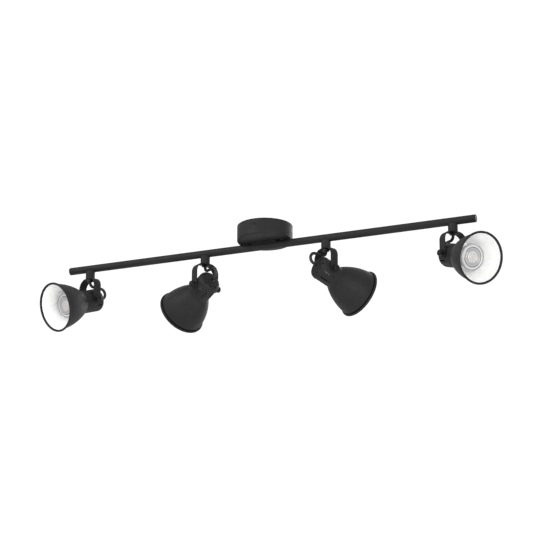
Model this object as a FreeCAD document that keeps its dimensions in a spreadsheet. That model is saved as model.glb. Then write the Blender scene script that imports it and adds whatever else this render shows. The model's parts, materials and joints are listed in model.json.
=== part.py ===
import FreeCAD, Part
import math
import os
import Sketcher
from FreeCAD import Placement, Rotation, Vector

# Ceiling spot bar: a round canopy, a tube below it and four spotlights.
# Millimetres. Origin at the centre of the ceiling face, +X along the bar,
# +Z up. The lamps look down and out, two towards -Y and two towards +Y.

os.makedirs("parts", exist_ok=True)
doc = FreeCAD.newDocument("spot_bar")
sheet = doc.addObject("Spreadsheet::Sheet", "Dims")

DIMENSIONS = {
    # canopy on the ceiling
    "canopy_radius": 54,
    "canopy_height": 31.4,
    "canopy_wall": 1.2,
    "canopy_edge": 3,
    "canopy_screw_drop": 10.4,
    # strip that holds the canopy to the ceiling
    "bracket_width": 14,
    "bracket_reach": 51.8,
    "bracket_thick": 1.5,
    "bracket_ear": 16,
    "slot_spacing": 60,
    "slot_width": 5,
    "slot_length": 14,
    "terminal_length": 28,
    "terminal_width": 14,
    "terminal_height": 10,
    # bar
    "bar_drop": 39.4,
    "bar_radius": 7.5,
    "bar_wall": 1,
    "bar_length": 850,
    "cap_thick": 1.2,
    "saddle_length": 50,
    "saddle_width": 13,
    "saddle_screw_reach": 15,
    "wire_hole_radius": 3,
    "wiring_radius": 1.9,
    "wiring_branch": 1.6,
    "wiring_rise": 0.7,
    # swivel stems
    "stem_pitch": 253,
    "stem_radius": 9.25,
    "stem_start": 5,
    "stem_end": 21.3,
    "nipple_radius": 4.6,
    "nipple_bore": 3.15,
    "nipple_nut": 3,
    "running_gap": 0.06,
    # yoke, measured from the tilt pivot
    "pivot_drop": 67.4,
    "yoke_half": 26,
    "yoke_thick": 2,
    "yoke_width": 16,
    "yoke_shoulder": 19,
    # tilt screws
    "shank_radius": 2.5,
    "knob_radius": 6,
    "knob_length": 9,
    # lamp head, measured along its axis from the pivot
    "neck_at": 21.9,
    "neck_radius": 22.5,
    "housing_wall": 1.5,
    "housing_back": 22.6,
    "housing_round": 8,
    "lip_length": 5,
    "vent_width": 2.6,
    "vent_from": -14,
    "vent_to": 5,
    "vent_hole_at": 8.6,
    "dome_hole_radius": 1.6,
    "dome_hole_circle": 17.4,
    "grommet_hole": 4.6,
    "shade_wall": 1,
    "shade_mid_at": 53.9,
    "shade_mid_radius": 39.7,
    "shade_end_at": 84.4,
    "shade_end_radius": 46.2,
    "bead_radius": 2.2,
    "bead_at": 85.7,
    "bead_circle": 47.0,
    "lamp_radius": 25,
    "lamp_face": 61.9,
    "lamp_back": 7.9,
    "lens_thick": 1.6,
    "holder_radius": 13,
    "holder_back": 12,
    "ear_thick": 3,
    "ear_half": 18.4,
    "pin_reach": 5,
    "pin_radius": 1.5,
    # lead from the stem to the head
    "lead_radius": 2.9,
    "lead_inset": 1.8,
    "lead_top_bend": 8,
    "lead_level": 31,
    "lead_back": 27,
    # aim of each lamp: pan from -Y towards +X, tilt below the horizontal
    "pan_1": -26.6,
    "pan_2": -120.4,
    "pan_3": 149.5,
    "pan_4": 53.7,
    "tilt_1": 19.7,
    "tilt_2": 23.0,
    "tilt_3": 19.7,
    "tilt_4": 18.7,
}
for row, (name, value) in enumerate(DIMENSIONS.items(), start=1):
    sheet.set(f"A{row}", name)
    sheet.set(f"B{row}", str(value))
    sheet.setAlias(f"B{row}", name)
doc.recompute()

D = "Dims."
LAMPS = (1, 2, 3, 4)
ORIGIN_POINT = (-1, 1)
nodes = []


def size(name):
    return float(sheet.get(name))


def bind(item, **expressions):
    for prop, expression in expressions.items():
        item.setExpression(prop.replace("__", "."), expression)


def keep(item, label):
    """Name a finished sub-part and put it on the export list."""
    item.Label = label
    nodes.append(item)
    return item


def place(item, x="0", y="0", z="0", yaw="0", pitch="0", roll="0"):
    """Bind the whole placement: position in mm, then yaw, pitch and roll."""
    turn = f"rotation({yaw}; {pitch}; {roll})"
    item.setExpression("Placement", f"placement(vector({x}; {y}; {z}); {turn})")


def in_stem(lamp):
    """Position of a lamp's vertical swivel axis at the tube's centre line."""
    return {"x": f"{D}stem_pitch * {lamp - 2.5}", "z": f"-{D}bar_drop"}


def in_yoke(lamp):
    """Yoke frame: origin on the tilt pivot, +X where the lamp points."""
    return {
        "x": f"{D}stem_pitch * {lamp - 2.5}",
        "z": f"-{D}bar_drop - {D}pivot_drop",
        "yaw": f"{D}pan_{lamp} - 90",
    }


def in_head(lamp):
    """Head frame: the yoke frame, tilted down by the lamp's tilt."""
    return {**in_yoke(lamp), "pitch": f"{D}tilt_{lamp}"}


# ---- sketch and feature helpers

def new_body(name):
    return doc.addObject("PartDesign::Body", name)


def new_sketch(body, name, plane, offset=None):
    sketch = body.newObject("Sketcher::SketchObject", name)
    face = [f for f in body.Origin.OriginFeatures if f.Role == plane][0]
    sketch.AttachmentSupport = (face, [""])
    sketch.MapMode = "FlatFace"
    if offset is not None:
        sketch.AttachmentOffset = offset
    return sketch


def at(sketch, geo, point, across, up):
    """Fix a point of the sketch by two expressions, from the origin."""
    for kind, expression in (("DistanceX", across), ("DistanceY", up)):
        number = sketch.addConstraint(
            Sketcher.Constraint(kind, *ORIGIN_POINT, geo, point, evaluate(expression)))
        sketch.setExpression(f"Constraints[{number}]", expression)


def outline(sketch, points):
    """Closed outline of straight lines and arcs.

    A point is (x, y) as expressions; a third entry is the signed radius of
    the arc that leaves it, positive for a centre on the left of the way.
    """
    places = [(evaluate(p[0]), evaluate(p[1])) for p in points]
    geos = []
    for i, point in enumerate(points):
        start = Vector(*places[i], 0)
        end = Vector(*places[(i + 1) % len(points)], 0)
        if len(point) == 2:
            geos.append((sketch.addGeometry(Part.LineSegment(start, end)), 1, 2))
            continue
        radius = evaluate(point[2])
        chord = end - start
        left = Vector(-chord.y, chord.x, 0).normalize()
        depth = math.sqrt(radius ** 2 - (chord.Length / 2) ** 2)
        centre = (start + end) / 2 + left * math.copysign(depth, radius)
        middle = (start + end) / 2 - left * math.copysign(abs(radius) - depth, radius)
        arc = Part.Arc(start, middle, end)
        geo = sketch.addGeometry(arc)
        ends = (1, 2) if radius > 0 else (2, 1)
        geos.append((geo, *ends))
        number = sketch.addConstraint(Sketcher.Constraint("Radius", geo, abs(radius)))
        sketch.setExpression(f"Constraints[{number}]", f"abs({point[2]})")
    for i, (geo, start, end) in enumerate(geos):
        after, after_start, _ = geos[(i + 1) % len(geos)]
        sketch.addConstraint(Sketcher.Constraint("Coincident", geo, end, after, after_start))
    for point, (geo, start, _) in zip(points, geos):
        at(sketch, geo, start, point[0], point[1])
    return sketch


def circle(sketch, across, up, radius):
    spot = Vector(evaluate(across), evaluate(up), 0)
    geo = sketch.addGeometry(Part.Circle(spot, Vector(0, 0, 1), evaluate(radius)))
    at(sketch, geo, 3, across, up)
    number = sketch.addConstraint(Sketcher.Constraint("Radius", geo, evaluate(radius)))
    sketch.setExpression(f"Constraints[{number}]", radius)


def rectangle(sketch, left, right, low, high):
    return outline(sketch, [(left, low), (right, low), (right, high), (left, high)])


def slot(sketch, left, right, middle, half):
    """Slot along the sketch's X axis with round ends."""
    return outline(sketch, [
        (f"{left} + {half}", f"{middle} - {half}"),
        (f"{right} - {half}", f"{middle} - {half}", f"{half} * 1.0001"),
        (f"{right} - {half}", f"{middle} + {half}"),
        (f"{left} + {half}", f"{middle} + {half}", f"{half} * 1.0001")])


def evaluate(expression):
    """Value in mm of an expression on the sheet."""
    return float(sheet.evalExpression(str(expression)))


def revolve(body, sketch, axis):
    feature = body.newObject("PartDesign::Revolution", sketch.Name + "_turn")
    feature.Profile = sketch
    feature.ReferenceAxis = (sketch, [axis])
    feature.Angle = 360
    return feature


def pad(body, sketch, length):
    feature = body.newObject("PartDesign::Pad", sketch.Name + "_pad")
    feature.Profile = sketch
    feature.Midplane = True
    feature.setExpression("Length", length)
    return feature


def cut_through(body, sketch):
    """Cut both ways through the whole body; it has to remove material."""
    doc.recompute()
    before = body.Shape.Volume
    feature = body.newObject("PartDesign::Pocket", sketch.Name + "_cut")
    feature.Profile = sketch
    feature.Type = "ThroughAll"
    feature.Midplane = True
    doc.recompute()
    if before - body.Shape.Volume < 0.1:
        raise RuntimeError(sketch.Name + " removes nothing")
    return feature


def polar(body, feature, axis, count, angle):
    pattern = body.newObject("PartDesign::PolarPattern", feature.Name + "_ring")
    pattern.Originals = [feature]
    line = [f for f in body.Origin.OriginFeatures if f.Role == axis][0]
    pattern.Axis = (line, [""])
    pattern.Angle = angle
    pattern.Occurrences = count
    body.Tip = pattern
    doc.recompute()
    return pattern


def cylinder(name, radius, height, **where):
    item = doc.addObject("Part::Cylinder", name)
    bind(item, Radius=radius, Height=height)
    place(item, **where)
    return item


def fuse(name, items):
    item = doc.addObject("Part::MultiFuse", name)
    item.Shapes = items
    return item


def cut(name, base, tool):
    item = doc.addObject("Part::Cut", name)
    item.Base = base
    item.Tool = tool
    return item


def group(name, items):
    item = doc.addObject("Part::Compound", name)
    item.Links = items
    return item


def turned(name, points):
    """Round piece: an outline in (along, radius) turned about the X axis."""
    body = new_body(name)
    revolve(body, outline(new_sketch(body, name + "_half", "XY_Plane"), points), "H_Axis")
    return body


def screw(name, shank, reach, head, rise):
    """Domed screw along +X: head from 0 to rise, shank back to -reach."""
    body = turned(name, [
        (f"-{reach}", "0"),
        ("0", "0"),
        (rise, "0"),
        (rise, f"{head} * 0.45"),
        ("0", head),
        ("0", shank),
        (f"0.4 - {reach}", shank),
        (f"-{reach}", f"{shank} - 0.4")])
    return body


def recess(body, width, depth, rise):
    """Cross recess in a screw's head."""
    shift = Placement(Vector(0, 0, evaluate(rise)), Rotation())
    sketch = new_sketch(body, body.Name + "_cross", "YZ_Plane", shift)
    arm = evaluate(width)
    thin = arm / 4
    corners = [(arm, -thin), (arm, thin), (thin, thin), (thin, arm), (-thin, arm),
               (-thin, thin), (-arm, thin), (-arm, -thin), (-thin, -thin),
               (-thin, -arm), (thin, -arm), (thin, -thin)]
    outline(sketch, [(str(x), str(y)) for x, y in corners])
    doc.recompute()
    before = body.Shape.Volume
    feature = body.newObject("PartDesign::Pocket", body.Name + "_recess")
    feature.Profile = sketch
    feature.Length = depth
    doc.recompute()
    if before - body.Shape.Volume < 0.1:
        raise RuntimeError(body.Name + " has no recess")


# ---- canopy and what it holds

def canopy_cover():
    body = new_body("canopy_cover")
    r, wall, edge, deep = (D + n for n in (
        "canopy_radius", "canopy_wall", "canopy_edge", "canopy_height"))
    outline(new_sketch(body, "canopy_half", "XZ_Plane"), [
        ("0", f"-{deep}"),
        (f"{r} - {edge}", f"-{deep}", edge),
        (r, f"{edge} - {deep}"),
        (r, "0"),
        (f"{r} - {wall}", "0"),
        (f"{r} - {wall}", f"{edge} - {deep}", f"{wall} - {edge}"),
        (f"{r} - {edge}", f"{wall} - {deep}"),
        ("0", f"{wall} - {deep}")])
    revolve(body, doc.getObject("canopy_half"), "V_Axis")
    sides = new_sketch(body, "canopy_side_holes", "XZ_Plane")
    circle(sides, "0", f"-{D}canopy_screw_drop", "1.8")
    cut_through(body, sides)
    floor = new_sketch(body, "canopy_floor_holes", "XY_Plane")
    circle(floor, "0", "0", f"{D}wire_hole_radius + 0.5")
    for side in ("-", ""):
        circle(floor, f"{side}{D}saddle_screw_reach", "0", "1.7")
    cut_through(body, floor)
    keep(body, "canopy_cover")


def ceiling_bracket():
    body = new_body("ceiling_bracket")
    reach, thick, ear = (D + n for n in ("bracket_reach", "bracket_thick", "bracket_ear"))
    profile = outline(new_sketch(body, "bracket_profile", "YZ_Plane"), [
        (f"3 - {reach}", "0", "3"),
        (f"-{reach}", "-3"),
        (f"-{reach}", f"-{ear}"),
        (f"{thick} - {reach}", f"-{ear}"),
        (f"{thick} - {reach}", "-3", f"{thick} - 3"),
        (f"3 - {reach}", f"-{thick}"),
        (f"{reach} - 3", f"-{thick}", f"{thick} - 3"),
        (f"{reach} - {thick}", "-3"),
        (f"{reach} - {thick}", f"-{ear}"),
        (reach, f"-{ear}"),
        (reach, "-3", "3"),
        (f"{reach} - 3", "0")])
    pad(body, profile, D + "bracket_width")
    slots = new_sketch(body, "bracket_slots", "XY_Plane",
                       Placement(Vector(), Rotation(Vector(0, 0, 1), 90)))
    for side in ("-0.5", "0.5"):
        middle = f"{side} * {D}slot_spacing"
        slot(slots, f"{middle} - {D}slot_length / 2", f"{middle} + {D}slot_length / 2",
             "0", f"{D}slot_width / 2")
    cut_through(body, slots)
    ears = new_sketch(body, "bracket_ear_holes", "XZ_Plane")
    circle(ears, "0", f"-{D}canopy_screw_drop", "1.5")
    cut_through(body, ears)
    keep(body, "ceiling_bracket")


def canopy_screws():
    pair = []
    for side, name in ((-1, "canopy_screw_front"), (1, "canopy_screw_rear")):
        body = screw(name, "1.45", "6.5", "2.9", "1.8")
        recess(body, "1.1", 1.0, "1.8")
        place(body, y=f"{side} * {D}canopy_radius", z=f"-{D}canopy_screw_drop",
              yaw=str(90 * side))
        pair.append(body)
    keep(group("canopy_screws_group", pair), "canopy_screws")


def terminal_block():
    body = new_body("terminal_block")
    long, deep = D + "terminal_length", D + "terminal_width"
    base = rectangle(new_sketch(body, "terminal_base", "XY_Plane"),
                     f"-{long} / 2", f"{long} / 2", f"-{deep} / 2", f"{deep} / 2")
    pad(body, base, D + "terminal_height")
    wires = new_sketch(body, "terminal_wire_holes", "XZ_Plane")
    for pole in ("-9", "0", "9"):
        circle(wires, pole, "0", "1.8")
    cut_through(body, wires)
    place(body, z=f"-{D}bracket_thick - {D}terminal_height / 2")
    keep(body, "terminal_block")


# ---- bar

def tube_saddle():
    body = new_body("tube_saddle")
    half, top, gap = f"{D}saddle_width / 2", f"-{D}canopy_height", "0.02"
    reach = f"sqrt(({D}bar_radius + {gap}) ^ 2 - ({half}) ^ 2)"
    low = f"{reach} - {D}bar_drop"
    profile = outline(new_sketch(body, "saddle_profile", "YZ_Plane"), [
        (f"-{half}", top),
        (f"-{half}", low, f"-({D}bar_radius + {gap})"),
        (half, low),
        (half, top)])
    pad(body, profile, D + "saddle_length")
    holes = new_sketch(body, "saddle_holes", "XY_Plane")
    circle(holes, "0", "0", D + "wire_hole_radius")
    for side in ("-", ""):
        circle(holes, f"{side}{D}saddle_screw_reach", "0", "1.6")
    cut_through(body, holes)
    keep(body, "tube_saddle")


def saddle_screws():
    pair = []
    for side, name in ((-1, "saddle_screw_left"), (1, "saddle_screw_right")):
        body = screw(name, "1.45", "5.4", "2.8", "1.7")
        recess(body, "1.1", 0.9, "1.7")
        place(body, x=f"{side} * {D}saddle_screw_reach",
              z=f"{D}canopy_wall - {D}canopy_height", pitch="-90")
        pair.append(body)
    keep(group("saddle_screws_group", pair), "saddle_screws")


def bar_tube():
    body = new_body("bar_tube")
    ring = new_sketch(body, "tube_ring", "YZ_Plane")
    circle(ring, "0", "0", D + "bar_radius")
    circle(ring, "0", "0", f"{D}bar_radius - {D}bar_wall")
    pad(body, ring, f"{D}bar_length - 2 * {D}cap_thick")
    # wire and screw holes in the top wall, sketched above the axis
    top = new_sketch(body, "tube_top_holes", "XY_Plane")
    circle(top, "0", "0", D + "wire_hole_radius")
    for side in ("-", ""):
        circle(top, f"{side}{D}saddle_screw_reach", "0", "1.5")
    cut_one_way(body, top, False)
    bottom = new_sketch(body, "tube_stem_holes", "XY_Plane")
    for lamp in LAMPS:
        circle(bottom, f"{D}stem_pitch * {lamp - 2.5}", "0", D + "nipple_radius + 0.02")
    cut_one_way(body, bottom, True)
    place(body, z=f"-{D}bar_drop")
    keep(body, "bar_tube")


def cut_one_way(body, sketch, down):
    doc.recompute()
    before = body.Shape.Volume
    feature = body.newObject("PartDesign::Pocket", sketch.Name + "_cut")
    feature.Profile = sketch
    feature.Type = "ThroughAll"
    feature.Reversed = not down
    doc.recompute()
    if before - body.Shape.Volume < 0.1:
        raise RuntimeError(sketch.Name + " removes nothing")


def end_cap(side, name):
    """Plug with a rounded rim, modelled along +X and turned for its end."""
    full, thick, bore = (D + "bar_radius", D + "cap_thick",
                         f"{D}bar_radius - {D}bar_wall - 0.04")
    body = turned(name, [
        ("-6", "0"),
        (thick, "0"),
        (thick, f"{full} - 0.6", "0.6"),
        (f"{thick} - 0.6", full),
        ("0", full),
        ("0", bore),
        ("-5.5", bore),
        ("-6", f"{bore} - 0.5")])
    place(body, x=f"{side} * ({D}bar_length / 2 - {thick})", z=f"-{D}bar_drop",
          yaw="0" if side > 0 else "180")
    keep(body, name)


def tube_wiring():
    """Insulated wires as one bundle: riser, run along the tube, four drops."""
    level = f"{D}wiring_rise - {D}bar_drop"
    length = f"3 * {D}stem_pitch + 4 * {D}wiring_radius"
    run = cylinder("wiring_run", D + "wiring_radius", length,
                   x=f"-({length}) / 2", z=level, pitch="90")
    terminal = f"{D}bracket_thick + {D}terminal_height"
    riser = cylinder("wiring_riser", D + "wiring_branch", f"-({level}) - ({terminal})",
                     z=level)
    drops = []
    for lamp in LAMPS:
        reach = f"{D}stem_end + {D}lead_inset + {D}wiring_rise"
        drops.append(cylinder(f"wiring_drop_{lamp}", D + "wiring_branch", reach,
                              x=f"{D}stem_pitch * {lamp - 2.5}",
                              z=f"{level} - ({reach})"))
    keep(fuse("wiring_fuse", [run, riser] + drops), "tube_wiring")


# ---- swivel stem, its hollow nipple and the yoke

def swivel_stem(lamp):
    label = f"swivel_stem_{lamp}"
    name = f"stem_{lamp}"
    body = new_body(name)
    outline(new_sketch(body, name + "_half", "XZ_Plane"), [
        (f"{D}nipple_radius + 0.02", f"-{D}stem_end"),
        (f"{D}stem_radius - 0.5", f"-{D}stem_end", "0.5"),
        (D + "stem_radius", f"0.5 - {D}stem_end"),
        (D + "stem_radius", f"-{D}stem_start - 0.5", "0.5"),
        (f"{D}stem_radius - 0.5", f"-{D}stem_start"),
        (f"{D}nipple_radius + 0.02", f"-{D}stem_start")])
    revolve(body, doc.getObject(name + "_half"), "V_Axis")
    saddle = new_sketch(body, name + "_saddle", "YZ_Plane")
    circle(saddle, "0", "0", D + "bar_radius + 0.02")
    cut_through(body, saddle)
    place(body, **in_stem(lamp))
    keep(body, label)


def swivel_nipple(lamp):
    """Threaded tube through tube wall, stem and yoke, with its lock nut."""
    name = f"nipple_{lamp}"
    low = f"{D}stem_end + {D}yoke_thick + {D}nipple_nut + 1"
    ring = new_sketch(new_body(name), name + "_half", "XZ_Plane")
    outline(ring, [
        (D + "nipple_bore", f"-({low})"),
        (f"{D}nipple_radius - 0.4", f"-({low})"),
        (D + "nipple_radius", f"0.4 - ({low})"),
        (D + "nipple_radius", f"-{D}stem_start + 0.8"),
        (D + "nipple_bore", f"-{D}stem_start + 0.8")])
    body = doc.getObject(name)
    revolve(body, ring, "V_Axis")
    nut_name = f"nipple_nut_{lamp}"
    nut = doc.addObject("Part::Prism", nut_name)
    nut.Polygon = 6
    bind(nut, Circumradius="7.5", Height=D + "nipple_nut")
    hole = cylinder(f"nipple_nut_hole_{lamp}", f"{D}nipple_radius + 0.02", "10")
    for item in (nut, hole):
        place(item, z=f"-{D}stem_end - {D}yoke_thick - {D}nipple_nut - 0.1")
    both = group(f"nipple_group_{lamp}", [body, cut(f"nipple_lock_{lamp}", nut, hole)])
    place(both, **in_stem(lamp))
    keep(both, f"swivel_nipple_{lamp}")


def yoke(lamp):
    name = f"yoke_{lamp}"
    body = new_body(name)
    half, thick, bend = D + "yoke_half", D + "yoke_thick", D + "yoke_shoulder"
    top, end = f"{D}pivot_drop - {D}stem_end", f"-{D}yoke_width / 2"
    profile = outline(new_sketch(body, name + "_profile", "YZ_Plane"), [
        (f"{half} - {thick}", end),
        (half, end),
        (half, f"{top} - {bend}", bend),
        (f"{half} - {bend}", top),
        (f"{bend} - {half}", top, bend),
        (f"-{half}", f"{top} - {bend}"),
        (f"-{half}", end),
        (f"{thick} - {half}", end),
        (f"{thick} - {half}", f"{top} - {bend}", f"{thick} - {bend}"),
        (f"{bend} - {half}", f"{top} - {thick}"),
        (f"{half} - {bend}", f"{top} - {thick}", f"{thick} - {bend}"),
        (f"{half} - {thick}", f"{top} - {bend}")])
    pad(body, profile, D + "yoke_width")
    # round ends on both arms, centred on the pivot
    rounding = new_sketch(body, name + "_ends", "XZ_Plane")
    r = f"{D}yoke_width / 2"
    outline(rounding, [
        (f"-({r})", "0", f"{r} * 1.0001"),
        (r, "0"),
        (f"{r} + 1", "0"),
        (f"{r} + 1", f"-({r}) - 1"),
        (f"-({r}) - 1", f"-({r}) - 1"),
        (f"-({r}) - 1", "0")])
    cut_through(body, rounding)
    pivots = new_sketch(body, name + "_pivots", "XZ_Plane")
    circle(pivots, "0", "0", f"{D}shank_radius + {D}running_gap")
    cut_through(body, pivots)
    swivel = new_sketch(body, name + "_swivel", "XY_Plane")
    circle(swivel, "0", "0", f"{D}nipple_radius + {D}running_gap")
    cut_through(body, swivel)
    place(body, **in_yoke(lamp))
    keep(body, name)


def lead_points(tilt):
    """Points of the lead's centre line in the yoke frame, and its fold radius.

    It leaves the nipple straight down, turns level towards the back of the
    lamp, and folds round into the middle of the housing along its axis.
    """
    bend, level, back = size("lead_top_bend"), size("lead_level"), -size("lead_back")
    top = size("pivot_drop") - size("stem_end") - size("lead_inset")
    cos, sin = math.cos(tilt), math.sin(tilt)
    fold = (level + back * sin / cos) / (1 + cos + sin * sin / cos)
    centre = Vector(back, 0, level - fold)
    swing = math.pi / 2 + (math.pi - tilt) / 2
    first = Vector(-bend, 0, level + bend)
    slant = math.sqrt(0.5)
    along = Vector(cos, 0, -sin)
    corners = [
        Vector(0, 0, top),
        Vector(0, 0, level + bend),
        first + Vector(slant, 0, -slant) * bend,
        Vector(-bend, 0, level),
        Vector(back, 0, level),
        centre + Vector(math.cos(swing), 0, math.sin(swing)) * fold,
        centre + Vector(-sin, 0, -cos) * fold,
        along * (-0.05 - size("holder_back") - size("ear_thick"))]
    return corners, fold


def lead(lamp):
    """Round cable; its path follows the lamp's tilt."""
    p, fold = lead_points(math.radians(size(f"tilt_{lamp}")))
    path = Part.Wire([
        Part.LineSegment(p[0], p[1]).toShape(),
        Part.Arc(p[1], p[2], p[3]).toShape(),
        Part.LineSegment(p[3], p[4]).toShape(),
        Part.Arc(p[4], p[5], p[6]).toShape(),
        Part.LineSegment(p[6], p[7]).toShape()])
    ring = Part.Circle(p[0], Vector(0, 0, -1), size("lead_radius")).toShape()
    tube = path.makePipeShell([Part.Wire([ring])], True, False)
    expected = math.pi * size("lead_radius") ** 2 * path.Length
    if abs(tube.Volume / expected - 1) > 0.01:
        raise RuntimeError("the lead's volume is not its section times its length")
    print(f"lead {lamp}: length {path.Length:.1f}, bends {size('lead_top_bend')}, {fold:.1f}")
    item = doc.addObject("Part::Feature", f"lead_{lamp}")
    item.Shape = tube
    place(item, **in_yoke(lamp))
    keep(item, f"lead_{lamp}")


# ---- lamp head

def shade(lamp):
    name = f"shade_{lamp}"
    body = new_body(name)
    neck, start, wall = D + "neck_at", D + "neck_radius", D + "shade_wall"
    end, end_r = D + "shade_end_at", D + "shade_end_radius"
    flare = arc_radius((size("neck_at"), size("neck_radius")),
                       (size("shade_mid_at"), size("shade_mid_radius")),
                       (size("shade_end_at"), size("shade_end_radius")))
    outline(new_sketch(body, name + "_wall", "XY_Plane"), [
        (neck, f"{start} - {wall}", f"-{flare}"),
        (end, f"{end_r} - {wall}"),
        (end, end_r, str(flare)),
        (neck, start)])
    revolve(body, doc.getObject(name + "_wall"), "H_Axis")
    bead = new_sketch(body, name + "_bead", "XY_Plane")
    circle(bead, D + "bead_at", D + "bead_circle", D + "bead_radius")
    revolve(body, bead, "H_Axis")
    place(body, **in_head(lamp))
    keep(body, name)


def arc_radius(a, b, c):
    """Radius of the circle through three points."""
    return Part.Arc(Vector(*a, 0), Vector(*b, 0), Vector(*c, 0)).toShape().Curve.Radius


def housing(lamp):
    name = f"housing_{lamp}"
    r, wall, back = D + "neck_radius", D + "housing_wall", D + "housing_back"
    bend, lip = D + "housing_round", f"{D}neck_radius - {D}shade_wall - 0.05"
    neck, end = D + "neck_at", f"{D}neck_at + {D}lip_length"
    body = turned(name, [
        (f"-{back}", D + "grommet_hole"),
        (f"{wall} - {back}", D + "grommet_hole"),
        (f"{wall} - {back}", f"{r} - {bend}", f"{wall} - {bend}"),
        (f"{bend} - {back}", f"{r} - {wall}"),
        (f"{neck} - 2", f"{r} - {wall}"),
        (neck, f"{lip} - {D}shade_wall"),
        (end, f"{lip} - {D}shade_wall"),
        (end, lip),
        (neck, lip),
        (neck, r),
        (f"{bend} - {back}", r, bend),
        (f"-{back}", f"{r} - {bend}")])
    # slots and small holes in sets of four below and above, none at the pivots
    turn = Placement(Vector(), Rotation(Vector(1, 0, 0), -54))
    vents = new_sketch(body, name + "_vents", "XY_Plane", turn)
    slot(vents, D + "vent_from", D + "vent_to", "0", f"{D}vent_width / 2")
    circle(vents, D + "vent_hole_at", "0", "1.25")
    polar(body, cut_through(body, vents), "X_Axis", 4, 108)
    dome = new_sketch(body, name + "_dome", "YZ_Plane")
    circle(dome, D + "dome_hole_circle", "0", D + "dome_hole_radius")
    polar(body, cut_through(body, dome), "X_Axis", 10, 360)
    pivots = new_sketch(body, name + "_taps", "XZ_Plane")
    circle(pivots, "0", "0", f"{D}shank_radius + 0.02")
    cut_through(body, pivots)
    place(body, **in_head(lamp))
    keep(body, name)


def pivot_screws(lamp):
    """Two thumb screws: a domed knob outside the arm, a shank to the housing."""
    pair = []
    for side in (1, -1):
        name = f"pivot_screw_{lamp}_{'left' if side > 0 else 'right'}"
        knob, length, shank = D + "knob_radius", D + "knob_length", D + "shank_radius"
        body = turned(name, [
            ("-10.5", "0"),
            (length, "0"),
            (length, f"{knob} - 2.2", "2.2"),
            (f"{length} - 2.2", knob),
            ("0.1", knob),
            ("0.1", shank),
            ("-10", shank),
            ("-10.5", f"{shank} - 0.5")])
        place(body, y=f"{side} * {D}yoke_half", yaw=str(90 * side))
        pair.append(body)
    both = group(f"pivot_screws_group_{lamp}", pair)
    place(both, **in_head(lamp))
    keep(both, f"pivot_screws_{lamp}")


def pivot_washers(lamp):
    """Two spacers, hollowed on the inside to sit on the round housing."""
    inner, outer = "19", f"{D}yoke_half - {D}yoke_thick - 0.1"
    pair = []
    for side, turn in (("left", "-90"), ("right", "90")):
        name = f"{lamp}_{side}"
        disc = cylinder(f"washer_disc_{name}", "6.2", f"{outer} - {inner}")
        hole = cylinder(f"washer_hole_{name}", f"{D}shank_radius + 0.03", "10")
        ring = cut(f"washer_ring_{name}", disc, hole)
        sign = "1" if side == "left" else "-1"
        place(ring, y=f"{sign} * {inner}", roll=turn)
        core = cylinder(f"washer_core_{name}", f"{D}neck_radius + 0.02", "60",
                        x="-30", pitch="90")
        pair.append(cut(f"washer_{name}", ring, core))
    both = group(f"pivot_washers_group_{lamp}", pair)
    place(both, **in_head(lamp))
    keep(both, f"pivot_washers_{lamp}")


def lamp_body(lamp):
    """Reflector lamp: bowl, neck and two pins, without its front lens."""
    name = f"bulb_{lamp}"
    face, back, r = D + "lamp_face", D + "lamp_back", D + "lamp_radius"
    seat = f"{face} - {D}lens_thick"
    body = turned(name, [
        (back, "0"),
        (seat, "0"),
        (seat, f"{r} - 2.4"),
        (face, f"{r} - 2.4"),
        (face, f"{r} - 0.8", "0.8"),
        (f"{face} - 0.8", r),
        (f"{face} - 5", r),
        (f"{face} - 30", "16"),
        (f"{face} - 36", "12.9"),
        (f"{back}", "12.6")])
    pins = new_sketch(body, name + "_pins", "YZ_Plane")
    for side in ("-", ""):
        circle(pins, f"{side}{D}pin_reach", "0", D + "pin_radius")
    feature = body.newObject("PartDesign::Pad", name + "_pin_pad")
    feature.Profile = pins
    feature.setExpression("Length", f"{back} + 1")
    place(body, **in_head(lamp))
    keep(body, f"lamp_body_{lamp}")


def lamp_lens(lamp):
    name = f"lens_{lamp}"
    face = D + "lamp_face"
    r = f"{D}lamp_radius - 2.45"
    body = turned(name, [
        (f"{face} - {D}lens_thick + 0.02", "0"),
        (f"{face} - 0.3", "0"),
        (f"{face} - 0.3", r),
        (f"{face} - {D}lens_thick + 0.02", r)])
    place(body, **in_head(lamp))
    keep(body, f"lamp_lens_{lamp}")


def lamp_holder(lamp):
    """Ceramic holder with two pin sockets and two ears on the housing wall."""
    name = f"holder_{lamp}"
    back, r = D + "holder_back", D + "holder_radius"
    body = turned(name, [
        (f"-{back} - {D}ear_thick", "0"),
        (f"{D}lamp_back - 0.05", "0"),
        (f"{D}lamp_back - 0.05", f"{r} - 1", "1"),
        (f"{D}lamp_back - 1.05", r),
        (f"-{back} - {D}ear_thick", r)])
    ears = new_sketch(body, name + "_ears", "XZ_Plane")
    rectangle(ears, f"-{back} - {D}ear_thick", f"-{back}", f"-{D}ear_half", D + "ear_half")
    pad(body, ears, "8")
    sockets = new_sketch(body, name + "_sockets", "YZ_Plane",
                         Placement(Vector(0, 0, -2), Rotation()))
    for side in ("-", ""):
        circle(sockets, f"{side}{D}pin_reach", "0", f"{D}pin_radius + 0.2")
    cut_one_way(body, sockets, False)
    place(body, **in_head(lamp))
    keep(body, f"lamp_holder_{lamp}")


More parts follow.
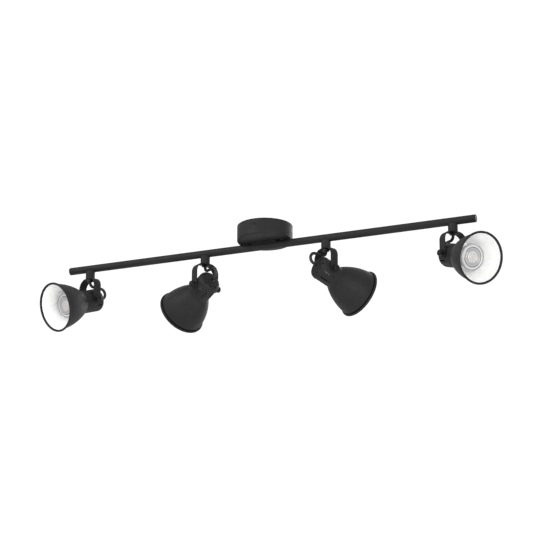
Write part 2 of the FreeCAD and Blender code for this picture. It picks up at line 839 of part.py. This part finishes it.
def lead_grommet(lamp):
    name = f"grommet_{lamp}"
    back, wall = D + "housing_back", D + "housing_wall"
    bore, hole = f"{D}lead_radius + 0.05", f"{D}grommet_hole - 0.03"
    body = turned(name, [
        (f"-{back} - 1.8", bore),
        (f"{wall} - {back} + 1.2", bore),
        (f"{wall} - {back} + 1.2", "5.8"),
        (f"{wall} - {back} + 0.02", "5.8"),
        (f"{wall} - {back} + 0.02", hole),
        (f"-{back} - 0.02", hole),
        (f"-{back} - 0.02", "6.4"),
        (f"-{back} - 0.8", "6.4", "1"),
        (f"-{back} - 1.8", "5.4")])
    place(body, **in_head(lamp))
    keep(body, f"lead_grommet_{lamp}")


canopy_cover()
ceiling_bracket()
canopy_screws()
terminal_block()
tube_saddle()
saddle_screws()
bar_tube()
end_cap(-1, "end_cap_left")
end_cap(1, "end_cap_right")
tube_wiring()
for lamp_number in LAMPS:
    for make in (swivel_stem, swivel_nipple, yoke, lead, shade, housing, pivot_screws,
                 pivot_washers, lamp_body, lamp_lens, lamp_holder, lead_grommet):
        make(lamp_number)
doc.recompute()

for item in doc.Objects:
    if "Invalid" in item.State or "Error" in item.State:
        raise RuntimeError(f"{item.Name} failed: {item.State}")
for item in nodes:
    if item.Shape.isNull() or not item.Shape.isValid():
        raise RuntimeError(f"{item.Label} has no valid shape")
for item in nodes:
    item.Shape.exportStep(f"parts/{item.Label}.step")
print(len(nodes), "parts written")
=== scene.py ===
import bmesh
import bpy
import json
import math
from mathutils import Matrix, Vector


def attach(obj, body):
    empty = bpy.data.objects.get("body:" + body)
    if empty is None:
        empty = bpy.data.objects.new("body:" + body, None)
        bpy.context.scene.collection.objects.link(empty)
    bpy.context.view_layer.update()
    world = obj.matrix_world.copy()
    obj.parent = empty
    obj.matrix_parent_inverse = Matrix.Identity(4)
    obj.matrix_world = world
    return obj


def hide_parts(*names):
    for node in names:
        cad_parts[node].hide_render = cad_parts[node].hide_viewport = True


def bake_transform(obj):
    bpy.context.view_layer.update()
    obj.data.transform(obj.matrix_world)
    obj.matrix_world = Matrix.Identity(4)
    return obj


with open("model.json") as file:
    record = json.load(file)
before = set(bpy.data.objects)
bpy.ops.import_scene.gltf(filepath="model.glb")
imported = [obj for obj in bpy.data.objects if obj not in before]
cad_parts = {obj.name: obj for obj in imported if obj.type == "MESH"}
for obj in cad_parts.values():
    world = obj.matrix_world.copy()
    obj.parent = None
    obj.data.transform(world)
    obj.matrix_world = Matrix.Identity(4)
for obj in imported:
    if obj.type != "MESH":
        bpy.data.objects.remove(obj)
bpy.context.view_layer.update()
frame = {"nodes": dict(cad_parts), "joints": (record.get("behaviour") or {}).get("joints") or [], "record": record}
scene = bpy.context.scene
lamps = (1, 2, 3, 4)
mm = 0.001

# camera, below and to the right of the bar
view = {
    "place": (1.3756, -3.256, -1.2475),
    "yaw": -0.39826,       # left of +Y
    "pitch": 0.31826,      # upwards
    "roll": 0.004,
    "lens": 129.9,
    "sensorWidth": 36,
    "clipEnd": 50,
}


def makeCamera():
    yaw, pitch = view["yaw"], view["pitch"]
    aim = Vector((math.sin(yaw) * math.cos(pitch), math.cos(yaw) * math.cos(pitch),
                  math.sin(pitch)))
    camera = bpy.data.objects.new("camera", bpy.data.cameras.new("camera"))
    camera.data.lens = view["lens"]
    camera.data.sensor_width = view["sensorWidth"]
    camera.data.clip_end = view["clipEnd"]
    turn = aim.to_track_quat("-Z", "Y").to_matrix().to_4x4()
    camera.matrix_world = (Matrix.Translation(view["place"]) @ turn
                           @ Matrix.Rotation(view["roll"], 4, "Z"))
    scene.collection.objects.link(camera)
    scene.camera = camera


makeCamera()
print("camera set")

# where each lamp sits and points, read from its joints
joints = {joint["name"]: joint for joint in frame["joints"]}


def yokeFrame(lamp):
    tilt = joints[f"tilt_{lamp}"]
    side = Vector(tilt["axis"]).normalized()
    front = side.cross(Vector((0, 0, 1))).normalized()
    turn = Matrix((front, side, (0, 0, 1))).transposed().to_4x4()
    return Matrix.Translation(tilt["pos_m"]) @ turn


def tiltOf(lamp):
    return -math.radians(joints[f"tilt_{lamp}"]["range_deg"][0])


def headFrame(lamp):
    return yokeFrame(lamp) @ Matrix.Rotation(tiltOf(lamp), 4, "Y")


# materials

def newMaterial(name):
    material = bpy.data.materials.new(name)
    material.use_nodes = True
    nodes = material.node_tree.nodes
    return material, nodes, material.node_tree.links, nodes["Principled BSDF"]


def objectPoint(nodes, links, place=None):
    # Object coordinates, centred and turned onto one piece if a place is given
    point = nodes.new("ShaderNodeTexCoord").outputs["Object"]
    if place is None:
        return point
    back = place.inverted()
    mapping = nodes.new("ShaderNodeMapping")
    mapping.inputs["Location"].default_value = back.to_translation()
    mapping.inputs["Rotation"].default_value = back.to_euler()
    links.new(point, mapping.inputs["Vector"])
    return mapping.outputs["Vector"]


def noiseField(nodes, links, point, scale, detail):
    noise = nodes.new("ShaderNodeTexNoise")
    noise.inputs["Scale"].default_value = scale
    noise.inputs["Detail"].default_value = detail
    links.new(point, noise.inputs["Vector"])
    return noise.outputs["Fac"]


noiseMiddle = {"rangeLow": 0.3, "rangeHigh": 0.7, "rampLow": 0.35, "rampHigh": 0.65}


def spread(nodes, links, field, low, high):
    # maps a noise field's useful middle onto low to high
    ranged = nodes.new("ShaderNodeMapRange")
    ranged.inputs["From Min"].default_value = noiseMiddle["rangeLow"]
    ranged.inputs["From Max"].default_value = noiseMiddle["rangeHigh"]
    ranged.inputs["To Min"].default_value = low
    ranged.inputs["To Max"].default_value = high
    links.new(field, ranged.inputs["Value"])
    return ranged.outputs["Result"]


def blendColours(nodes, links, field, first, second):
    ramp = nodes.new("ShaderNodeValToRGB")
    ramp.color_ramp.elements[0].position = noiseMiddle["rampLow"]
    ramp.color_ramp.elements[1].position = noiseMiddle["rampHigh"]
    ramp.color_ramp.elements[0].color = (*first, 1)
    ramp.color_ramp.elements[1].color = (*second, 1)
    links.new(field, ramp.inputs["Fac"])
    return ramp.outputs["Color"]


def addBump(nodes, links, shader, field, strength, distance):
    bump = nodes.new("ShaderNodeBump")
    bump.inputs["Strength"].default_value = strength
    bump.inputs["Distance"].default_value = distance
    links.new(field, bump.inputs["Height"])
    links.new(bump.outputs["Normal"], shader.inputs["Normal"])


finishes = {
    # name: two close colours, roughness range, scale of the grain per metre, the
    # bump's strength and depth in metres, then metal, coat and specular weights
    "black_powder_coat": {
        "colours": ((0.0085, 0.0085, 0.0088), (0.0112, 0.0112, 0.0115)),
        "roughness": (0.52, 0.66), "grain": 1500, "bump": 0.35, "depth": 0.00012,
        "metal": 0.0, "coat": 0.0, "specular": 0.16},
    "blackened_steel": {
        "colours": ((0.004, 0.004, 0.0042), (0.007, 0.007, 0.0072)),
        "roughness": (0.30, 0.44), "grain": 900, "bump": 0.12, "depth": 0.00006,
        "metal": 0.0, "coat": 0.0, "specular": 0.14},
    "zinc_plated_steel": {
        "colours": ((0.50, 0.50, 0.48), (0.64, 0.63, 0.58)),
        "roughness": (0.28, 0.42), "grain": 420, "bump": 0.10, "depth": 0.00005,
        "metal": 1.0, "coat": 0.0},
    "terminal_plastic": {
        "colours": ((0.72, 0.72, 0.68), (0.80, 0.80, 0.76)),
        "roughness": (0.42, 0.55), "grain": 600, "bump": 0.08, "depth": 0.00005,
        "metal": 0.0, "coat": 0.0},
    # the lamp holders: colours darkened far below their white as painted shade, so the insides seen through the
    # housings' vents look dark
    "white_ceramic": {
        "colours": ((0.26, 0.25, 0.23), (0.34, 0.33, 0.30)),
        "roughness": (0.22, 0.34), "grain": 500, "bump": 0.10, "depth": 0.00008,
        "metal": 0.0, "coat": 0.3},
    # the lamp bodies: their own grey, darkened further as painted shade so the insides seen through the housings'
    # vents look dark
    "lamp_plastic": {
        "colours": ((0.24, 0.24, 0.243), (0.29, 0.29, 0.29)),
        "roughness": (0.34, 0.46), "grain": 700, "bump": 0.06, "depth": 0.00005,
        "metal": 0.0, "coat": 0.0},
    "black_plastic": {
        "colours": ((0.007, 0.007, 0.007), (0.011, 0.011, 0.011)),
        "roughness": (0.50, 0.64), "grain": 1100, "bump": 0.15, "depth": 0.00006,
        "metal": 0.0, "coat": 0.0, "specular": 0.25},
    # painted shadow: near-black, matt and without sheen, for the shade in the crease before the rolled rim
    "painted_rim_shadow": {
        "colours": ((0.0012, 0.0012, 0.0012), (0.0020, 0.0020, 0.0020)),
        "roughness": (0.80, 0.90), "grain": 1100, "bump": 0.10, "depth": 0.00005,
        "metal": 0.0, "coat": 0.0, "specular": 0.0},
    "black_cable": {
        "colours": ((0.007, 0.007, 0.007), (0.011, 0.011, 0.011)),
        "roughness": (0.44, 0.58), "grain": 800, "bump": 0.12, "depth": 0.00008,
        "metal": 0.0, "coat": 0.0, "specular": 0.25},
    "white_enamel": {
        "colours": ((0.90, 0.90, 0.895), (0.93, 0.93, 0.925)),
        "roughness": (0.30, 0.40), "grain": 650, "bump": 0.05, "depth": 0.00006,
        "metal": 0.0, "coat": 0.25},
}


layers = {
    # scale per metre and detail: slow drift of colour, patches of roughness, grain
    "cloud": (38, 3), "patches": (120, 4), "grainDetail": 2,
    "specular": 0.5, "coatRoughness": 0.2,
}


def makeFinish(name, values):
    material, nodes, links, shader = newMaterial(name)
    point = objectPoint(nodes, links)
    cloud = noiseField(nodes, links, point, *layers["cloud"])
    links.new(blendColours(nodes, links, cloud, *values["colours"]),
              shader.inputs["Base Color"])
    patches = noiseField(nodes, links, point, *layers["patches"])
    links.new(spread(nodes, links, patches, *values["roughness"]),
              shader.inputs["Roughness"])
    grain = noiseField(nodes, links, point, values["grain"], layers["grainDetail"])
    addBump(nodes, links, shader, grain, values["bump"], values["depth"])
    shader.inputs["Metallic"].default_value = values["metal"]
    shader.inputs["Specular IOR Level"].default_value = values.get(
        "specular", layers["specular"])
    shader.inputs["Coat Weight"].default_value = values["coat"]
    shader.inputs["Coat Roughness"].default_value = layers["coatRoughness"]
    return material


materials = {name: makeFinish(name, values) for name, values in finishes.items()}

lensLook = {
    # distance from the lamp's axis in mm, and the colour there
    "bands": [
        (0.0, (0.38, 0.34, 0.33)), (2.2, (0.34, 0.31, 0.30)),
        (3.8, (0.42, 0.40, 0.39)), (5.4, (0.35, 0.335, 0.33)),
        (7.6, (0.34, 0.33, 0.325)), (9.2, (0.44, 0.44, 0.435)),
        (10.6, (0.28, 0.28, 0.28)), (13.6, (0.24, 0.24, 0.24)),
        (16.2, (0.29, 0.29, 0.29)), (17.6, (0.12, 0.12, 0.12)),
        (18.8, (0.19, 0.19, 0.19)), (20.2, (0.48, 0.48, 0.48)),
        (21.8, (0.42, 0.42, 0.42)), (22.6, (0.16, 0.16, 0.16))],
    "reach": 22.6,
    "roughness": (0.10, 0.22),
    "haze": (300, 3), "moulding": (520, 1),     # scale per metre and detail
    "bump": 0.12, "depth": 0.0002,
    "coat": 0.25, "coatRoughness": 0.05,
}


def makeLensMaterial(lamp):
    # moulded clear front over a grey reflector, in rings round the lamp's axis
    material, nodes, links, shader = newMaterial(f"lamp_lens_{lamp}")
    point = objectPoint(nodes, links, headFrame(lamp))
    flat = nodes.new("ShaderNodeVectorMath")
    flat.operation = "MULTIPLY"
    flat.inputs[1].default_value = (0, 1, 1)
    links.new(point, flat.inputs[0])
    length = nodes.new("ShaderNodeVectorMath")
    length.operation = "LENGTH"
    links.new(flat.outputs["Vector"], length.inputs[0])
    part = nodes.new("ShaderNodeMath")
    part.operation = "DIVIDE"
    part.inputs[1].default_value = lensLook["reach"] * mm
    links.new(length.outputs["Value"], part.inputs[0])
    ramp = nodes.new("ShaderNodeValToRGB")
    ramp.color_ramp.interpolation = "EASE"
    elements = ramp.color_ramp.elements
    bands = lensLook["bands"]
    while len(elements) < len(bands):
        elements.new(0.5)
    for element, (radius, colour) in zip(elements, bands):
        element.position = radius / lensLook["reach"]
        element.color = (*colour, 1)
    links.new(part.outputs["Value"], ramp.inputs["Fac"])
    links.new(ramp.outputs["Color"], shader.inputs["Base Color"])
    haze = noiseField(nodes, links, point, *lensLook["haze"])
    links.new(spread(nodes, links, haze, *lensLook["roughness"]),
              shader.inputs["Roughness"])
    shader.inputs["Coat Weight"].default_value = lensLook["coat"]
    shader.inputs["Coat Roughness"].default_value = lensLook["coatRoughness"]
    moulding = noiseField(nodes, links, point, *lensLook["moulding"])
    addBump(nodes, links, shader, moulding, lensLook["bump"], lensLook["depth"])
    return material


print("materials made")

# finish the CAD nodes that stay
slotOf = {part["node"]: part["material_slot"] for part in frame["record"]["subparts"]}


facets = {"join": 0.000002, "corner": 28}     # metres and degrees


def finishNode(name, node):
    # the lamp fronts have no finish of their own here: makeLens replaces them
    material = materials.get(slotOf[name], materials["lamp_plastic"])
    if not node.material_slots:
        node.data.materials.append(material)
    for slot in node.material_slots:
        slot.material = material
    # join the loose triangles for smooth shading, and keep real corners crisp
    weld = node.modifiers.new("join", "WELD")
    weld.merge_threshold = facets["join"]
    corners = node.modifiers.new("corners", "EDGE_SPLIT")
    corners.split_angle = math.radians(facets["corner"])
    for face in node.data.polygons:
        face.use_smooth = True


for nodeName, nodeObject in frame["nodes"].items():
    finishNode(nodeName, nodeObject)
print("frame finished")

# turned pieces: one geometry tree spins a profile round the lamp's axis


poleMerge = 0.000001     # metres


def turnedTree():
    tree = bpy.data.node_groups.new("turnedPiece", "GeometryNodeTree")
    face = tree.interface
    face.new_socket("Profile", in_out="INPUT", socket_type="NodeSocketGeometry")
    for name in ("Points", "Segments"):
        face.new_socket(name, in_out="INPUT", socket_type="NodeSocketInt")
    face.new_socket("Corner", in_out="INPUT", socket_type="NodeSocketFloat")
    face.new_socket("Finish", in_out="INPUT", socket_type="NodeSocketMaterial")
    face.new_socket("Geometry", in_out="OUTPUT", socket_type="NodeSocketGeometry")
    nodes, links = tree.nodes, tree.links
    given = nodes.new("NodeGroupInput").outputs

    def maths(operation, first, second=None):
        node = nodes.new("ShaderNodeMath")
        node.operation = operation
        for socket, value in zip(node.inputs, (first, second)):
            if isinstance(value, (int, float)):
                socket.default_value = value
            elif value is not None:
                links.new(value, socket)
        return node.outputs["Value"]

    rowLength = maths("ADD", given["Segments"], 1)
    grid = nodes.new("GeometryNodeMeshGrid")
    links.new(given["Points"], grid.inputs["Vertices X"])
    links.new(rowLength, grid.inputs["Vertices Y"])
    index = nodes.new("GeometryNodeInputIndex").outputs["Index"]
    # the half keeps the division clear of rounding
    column = maths("FLOOR", maths("DIVIDE", maths("ADD", index, 0.5), rowLength))
    row = maths("SUBTRACT", index, maths("MULTIPLY", column, rowLength))
    sample = nodes.new("GeometryNodeSampleIndex")
    sample.data_type = "FLOAT_VECTOR"
    links.new(given["Profile"], sample.inputs["Geometry"])
    links.new(nodes.new("GeometryNodeInputPosition").outputs["Position"],
              sample.inputs["Value"])
    links.new(column, sample.inputs["Index"])
    split = nodes.new("ShaderNodeSeparateXYZ")
    links.new(sample.outputs["Value"], split.inputs["Vector"])
    angle = maths("MULTIPLY", row, maths("DIVIDE", math.tau, given["Segments"]))
    place = nodes.new("ShaderNodeCombineXYZ")
    links.new(split.outputs["X"], place.inputs["X"])
    links.new(maths("MULTIPLY", split.outputs["Y"], maths("COSINE", angle)),
              place.inputs["Y"])
    links.new(maths("MULTIPLY", split.outputs["Y"], maths("SINE", angle)),
              place.inputs["Z"])
    move = nodes.new("GeometryNodeSetPosition")
    links.new(grid.outputs["Mesh"], move.inputs["Geometry"])
    links.new(place.outputs["Vector"], move.inputs["Position"])
    merge = nodes.new("GeometryNodeMergeByDistance")
    merge.inputs["Distance"].default_value = poleMerge
    links.new(move.outputs["Geometry"], merge.inputs["Geometry"])
    edges = nodes.new("GeometryNodeInputMeshEdgeAngle").outputs["Unsigned Angle"]
    smooth = nodes.new("GeometryNodeSetShadeSmooth")
    smooth.domain = "EDGE"
    smooth.inputs["Shade Smooth"].default_value = False
    links.new(merge.outputs["Geometry"], smooth.inputs["Geometry"])
    links.new(maths("GREATER_THAN", edges, given["Corner"]), smooth.inputs["Selection"])
    real = nodes.new("GeometryNodeRealizeInstances")
    links.new(smooth.outputs["Geometry"], real.inputs["Geometry"])
    paint = nodes.new("GeometryNodeSetMaterial")
    links.new(real.outputs["Geometry"], paint.inputs["Geometry"])
    links.new(given["Finish"], paint.inputs["Material"])
    links.new(paint.outputs["Geometry"], nodes.new("NodeGroupOutput").inputs["Geometry"])
    return tree


spinTree = turnedTree()


def turnPiece(name, profile, place, material, segments, corner):
    # profile: list of (along, radius) in mm, closed here; place: the axis frame;
    # corner: degrees above which an edge stays sharp
    mesh = bpy.data.meshes.new(name)
    points = [(x * mm, r * mm, 0) for x, r in profile + profile[:1]]
    mesh.from_pydata(points, [], [])
    source = bpy.data.objects.new(name + "Source", mesh)
    scene.collection.objects.link(source)
    modifier = source.modifiers.new("spin", "NODES")
    modifier.node_group = spinTree
    sockets = {item.name: item.identifier for item in spinTree.interface.items_tree
               if item.in_out == "INPUT"}
    modifier[sockets["Points"]] = len(points)
    modifier[sockets["Segments"]] = segments
    modifier[sockets["Corner"]] = math.radians(corner)
    modifier[sockets["Finish"]] = material
    made = source.evaluated_get(bpy.context.evaluated_depsgraph_get())
    result = bpy.data.meshes.new_from_object(made)
    bpy.data.objects.remove(source)
    result.name = name
    build = bmesh.new()
    build.from_mesh(result)
    bmesh.ops.recalc_face_normals(build, faces=build.faces)
    if build.calc_volume(signed=True) < 0:
        bmesh.ops.reverse_faces(build, faces=build.faces)
    build.to_mesh(result)
    build.free()
    result.transform(place)
    piece = bpy.data.objects.new(name, result)
    scene.collection.objects.link(piece)
    return piece


def arcPoints(centre, radius, start, end, steps):
    # points on an arc, angles in degrees from the axis direction
    turns = [math.radians(start + (end - start) * i / steps) for i in range(steps + 1)]
    return [(centre[0] + radius * math.cos(a), centre[1] + radius * math.sin(a))
            for a in turns]


# bell shades: black outside with a rolled rim and a painted shadow line before it, white enamel inside
shade = {
    "neckAt": 21.9, "neckRadius": 22.5,
    "middleAt": 53.9, "middleRadius": 39.7,
    "endAt": 84.4, "endRadius": 46.2,
    "wall": 1.0, "enamel": 0.12,
    # where the painted shadow band before the rim starts and ends along the axis
    "collarAt": 27.2, "collarRadius": 15,
    "rimShadowFrom": 81.6, "rimShadowTo": 84.2,
    "beadAt": 85.7, "beadCircle": 47.0, "beadRadius": 2.2,
    "beadFrom": 195, "beadTo": -115, "beadSteps": 28,
    "shellStop": 0.9, "linerStop": 0.4,     # how far short of the bell's end
    # how far the painted shadow band stands out from the bell and sinks into it
    "linerOverlap": 0.05, "rimShadowProud": 0.06, "rimShadowDepth": 0.2,
    "steps": 40, "segments": 128, "corner": 35,
}


def circleThrough(a, b, c):
    ax, ay, bx, by, cx, cy = *a, *b, *c
    d = 2 * (ax * (by - cy) + bx * (cy - ay) + cx * (ay - by))
    a2, b2, c2 = ax * ax + ay * ay, bx * bx + by * by, cx * cx + cy * cy
    centre = ((a2 * (by - cy) + b2 * (cy - ay) + c2 * (ay - by)) / d,
              (a2 * (cx - bx) + b2 * (ax - cx) + c2 * (bx - ax)) / d)
    return centre, math.dist(centre, a)


def bellLine(inset, first, last):
    # the bell's curve between two distances, moved in from the outer surface
    centre, radius = circleThrough(
        (shade["neckAt"], shade["neckRadius"]),
        (shade["middleAt"], shade["middleRadius"]),
        (shade["endAt"], shade["endRadius"]))
    line = []
    for i in range(shade["steps"] + 1):
        x = first + (last - first) * i / shade["steps"]
        height = math.sqrt((radius - inset) ** 2 - (x - centre[0]) ** 2)
        line.append((x, centre[1] + height))
    return line


def makeShade(lamp):
    bead = (shade["beadAt"], shade["beadCircle"])
    neck, wall = shade["neckAt"], shade["wall"]
    end = shade["endAt"] - shade["shellStop"]
    turned = (shade["segments"], shade["corner"])
    outer = bellLine(0, neck, end)
    inner = bellLine(wall, neck, end)
    rim = arcPoints(bead, shade["beadRadius"], shade["beadFrom"], shade["beadTo"],
                    shade["beadSteps"])
    shell = turnPiece(f"shadeShell_{lamp}", outer + rim + inner[::-1], headFrame(lamp),
                      materials["black_powder_coat"], *turned)
    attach(shell, f"head_{lamp}")
    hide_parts(f"shade_{lamp}")
    # the lining, turned in across the neck to meet the lamp
    back, enamel = shade["collarAt"], shade["enamel"]
    front = shade["endAt"] - shade["linerStop"]
    coat = (bellLine(wall - shade["linerOverlap"], back, front)
            + bellLine(wall + enamel, back + 2 * enamel, front)[::-1]
            + [(back + 2 * enamel, shade["collarRadius"]), (back, shade["collarRadius"])])
    liner = turnPiece(f"shadeLiner_{lamp}", coat, headFrame(lamp),
                      materials["white_enamel"], *turned)
    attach(liner, f"head_{lamp}")
    # a painted shadow: a dark band laid on the bell just before the rolled rim, where shade falls in the crease
    first, last = shade["rimShadowFrom"], shade["rimShadowTo"]
    band = (bellLine(-shade["rimShadowProud"], first, last)
            + bellLine(shade["rimShadowDepth"], first, last)[::-1])
    rimShadowBand = turnPiece(f"shadeSeam_{lamp}", band, headFrame(lamp),
                     materials["painted_rim_shadow"], *turned)
    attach(rimShadowBand, f"head_{lamp}")


# reflector lamps: the moulded front in rings
lens = {
    "face": 61.9, "radius": 22.5, "thick": 1.5,
    "ringPitch": 4.3, "ringDepth": 0.28, "rise": 0.7, "fade": 2,
    "steps": 64, "segments": 96, "corner": 50,
}


def makeLens(lamp):
    front = []
    for i in range(lens["steps"] + 1):
        r = lens["radius"] * i / lens["steps"]
        fade = min(1, (lens["radius"] - r) / lens["fade"])
        ripple = lens["ringDepth"] * math.cos(math.tau * r / lens["ringPitch"]) * fade
        front.append((lens["face"] - lens["rise"] + ripple, r))
    back = lens["face"] - lens["thick"]
    profile = front + [(back, lens["radius"]), (back, 0)]
    piece = turnPiece(f"lampFront_{lamp}", profile, headFrame(lamp),
                      makeLensMaterial(lamp), lens["segments"], lens["corner"])
    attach(piece, f"head_{lamp}")
    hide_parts(f"lamp_lens_{lamp}")


# leads from the hollow nipples to the heads
lead = {
    "radius": 2.9, "top": 44.3, "topBend": 8, "level": 31, "back": 27,
    "end": 15.05, "slack": 5, "ring": 20, "arcSteps": 18,
}


def leadLine(tilt):
    # centre line in the yoke's plane: down, level backwards, folded into the housing;
    # then the two points between which it turns with the lamp
    cos, sin = math.cos(tilt), math.sin(tilt)
    back, level, bend = -lead["back"], lead["level"], lead["topBend"]
    fold = (level + back * sin / cos) / (1 + cos + sin * sin / cos)
    line = [(0, lead["top"]), (0, (lead["top"] + level + bend) / 2)]
    line += arcPoints((-bend, level + bend), bend, 0, -90, lead["arcSteps"])
    line += [(back / 2 - bend / 2, level)]
    line += arcPoints((back, level - fold), fold, 90, 270 - math.degrees(tilt),
                      lead["arcSteps"] * 2)
    folded = line[-1]
    line += [(-lead["end"] * cos, lead["end"] * sin)]
    return line, ((back, level - lead["slack"]), folded)


def tubeMesh(name, line, radius, sides):
    # closed round tube along a line in the XZ plane
    build = bmesh.new()
    sideways = Vector((0, 1, 0))
    angles = [math.tau * k / sides for k in range(sides)]
    rings = []
    for i, (x, z) in enumerate(line):
        before, after = line[max(i - 1, 0)], line[min(i + 1, len(line) - 1)]
        way = Vector((after[0] - before[0], 0, after[1] - before[1])).normalized()
        across, centre = sideways.cross(way), Vector((x, 0, z))
        ring = [centre + radius * (across * math.cos(a) + sideways * math.sin(a))
                for a in angles]
        rings.append([build.verts.new(point * mm) for point in ring])
    for low, high in zip(rings, rings[1:]):
        for k in range(sides):
            n = (k + 1) % sides
            build.faces.new((low[k], low[n], high[n], high[k]))
    build.faces.new(rings[0])
    build.faces.new(rings[-1])
    bmesh.ops.recalc_face_normals(build, faces=build.faces)
    for face in build.faces:
        face.smooth = len(face.verts) == 4
    mesh = bpy.data.meshes.new(name)
    build.to_mesh(mesh)
    build.free()
    return mesh


def makeLead(lamp):
    line, span = leadLine(tiltOf(lamp))
    mesh = tubeMesh(f"leadCable_{lamp}", line, lead["radius"], lead["ring"])
    place = yokeFrame(lamp)
    mesh.transform(place)
    mesh.materials.append(materials["black_cable"])
    piece = bpy.data.objects.new(f"leadCable_{lamp}", mesh)
    scene.collection.objects.link(piece)
    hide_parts(f"lead_{lamp}")
    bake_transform(piece)


for lampNumber in lamps:
    makeShade(lampNumber)
    makeLens(lampNumber)
    makeLead(lampNumber)
    print("lamp", lampNumber, "made")

# pale floor and soft light
studio = {
    "floorHeight": -1.75, "floorSize": 14,
    "floorColour": (0.86, 0.86, 0.86, 1), "floorRoughness": 0.8,
    "sky": 1.08, "skyColour": (1, 1, 1, 1),
    "aim": (0, 0, -0.08),
    "lights": [
        # name, place, size, watts
        ("keyLight", (-1.6, -2.6, 1.2), 1.8, 60),
        ("fillLight", (2.4, -2.2, -0.6), 2.0, 66),
        ("backLight", (0.6, 2.6, 0.9), 1.8, 40),
    ],
}


def makeStudio():
    half = studio["floorSize"] / 2
    mesh = bpy.data.meshes.new("floor")
    corners = [(-half, -half), (half, -half), (half, half), (-half, half)]
    points = [(x, y, studio["floorHeight"]) for x, y in corners]
    mesh.from_pydata(points, [], [(0, 1, 2, 3)])
    material, _, _, shader = newMaterial("paleFloor")
    shader.inputs["Base Color"].default_value = studio["floorColour"]
    shader.inputs["Roughness"].default_value = studio["floorRoughness"]
    mesh.materials.append(material)
    floor = bpy.data.objects.new("floor", mesh)
    scene.collection.objects.link(floor)
    world = bpy.data.worlds.new("softWhite")
    world.use_nodes = True
    sky = world.node_tree.nodes["Background"]
    sky.inputs["Color"].default_value = studio["skyColour"]
    sky.inputs["Strength"].default_value = studio["sky"]
    scene.world = world
    for name, place, size, watts in studio["lights"]:
        data = bpy.data.lights.new(name, "AREA")
        data.shape = "DISK"
        data.size = size
        data.energy = watts
        light = bpy.data.objects.new(name, data)
        aim = Vector(studio["aim"]) - Vector(place)
        light.matrix_world = (Matrix.Translation(place)
                              @ aim.to_track_quat("-Z", "Y").to_matrix().to_4x4())
        scene.collection.objects.link(light)


makeStudio()
scene.view_settings.view_transform = "Standard"
print("studio made")
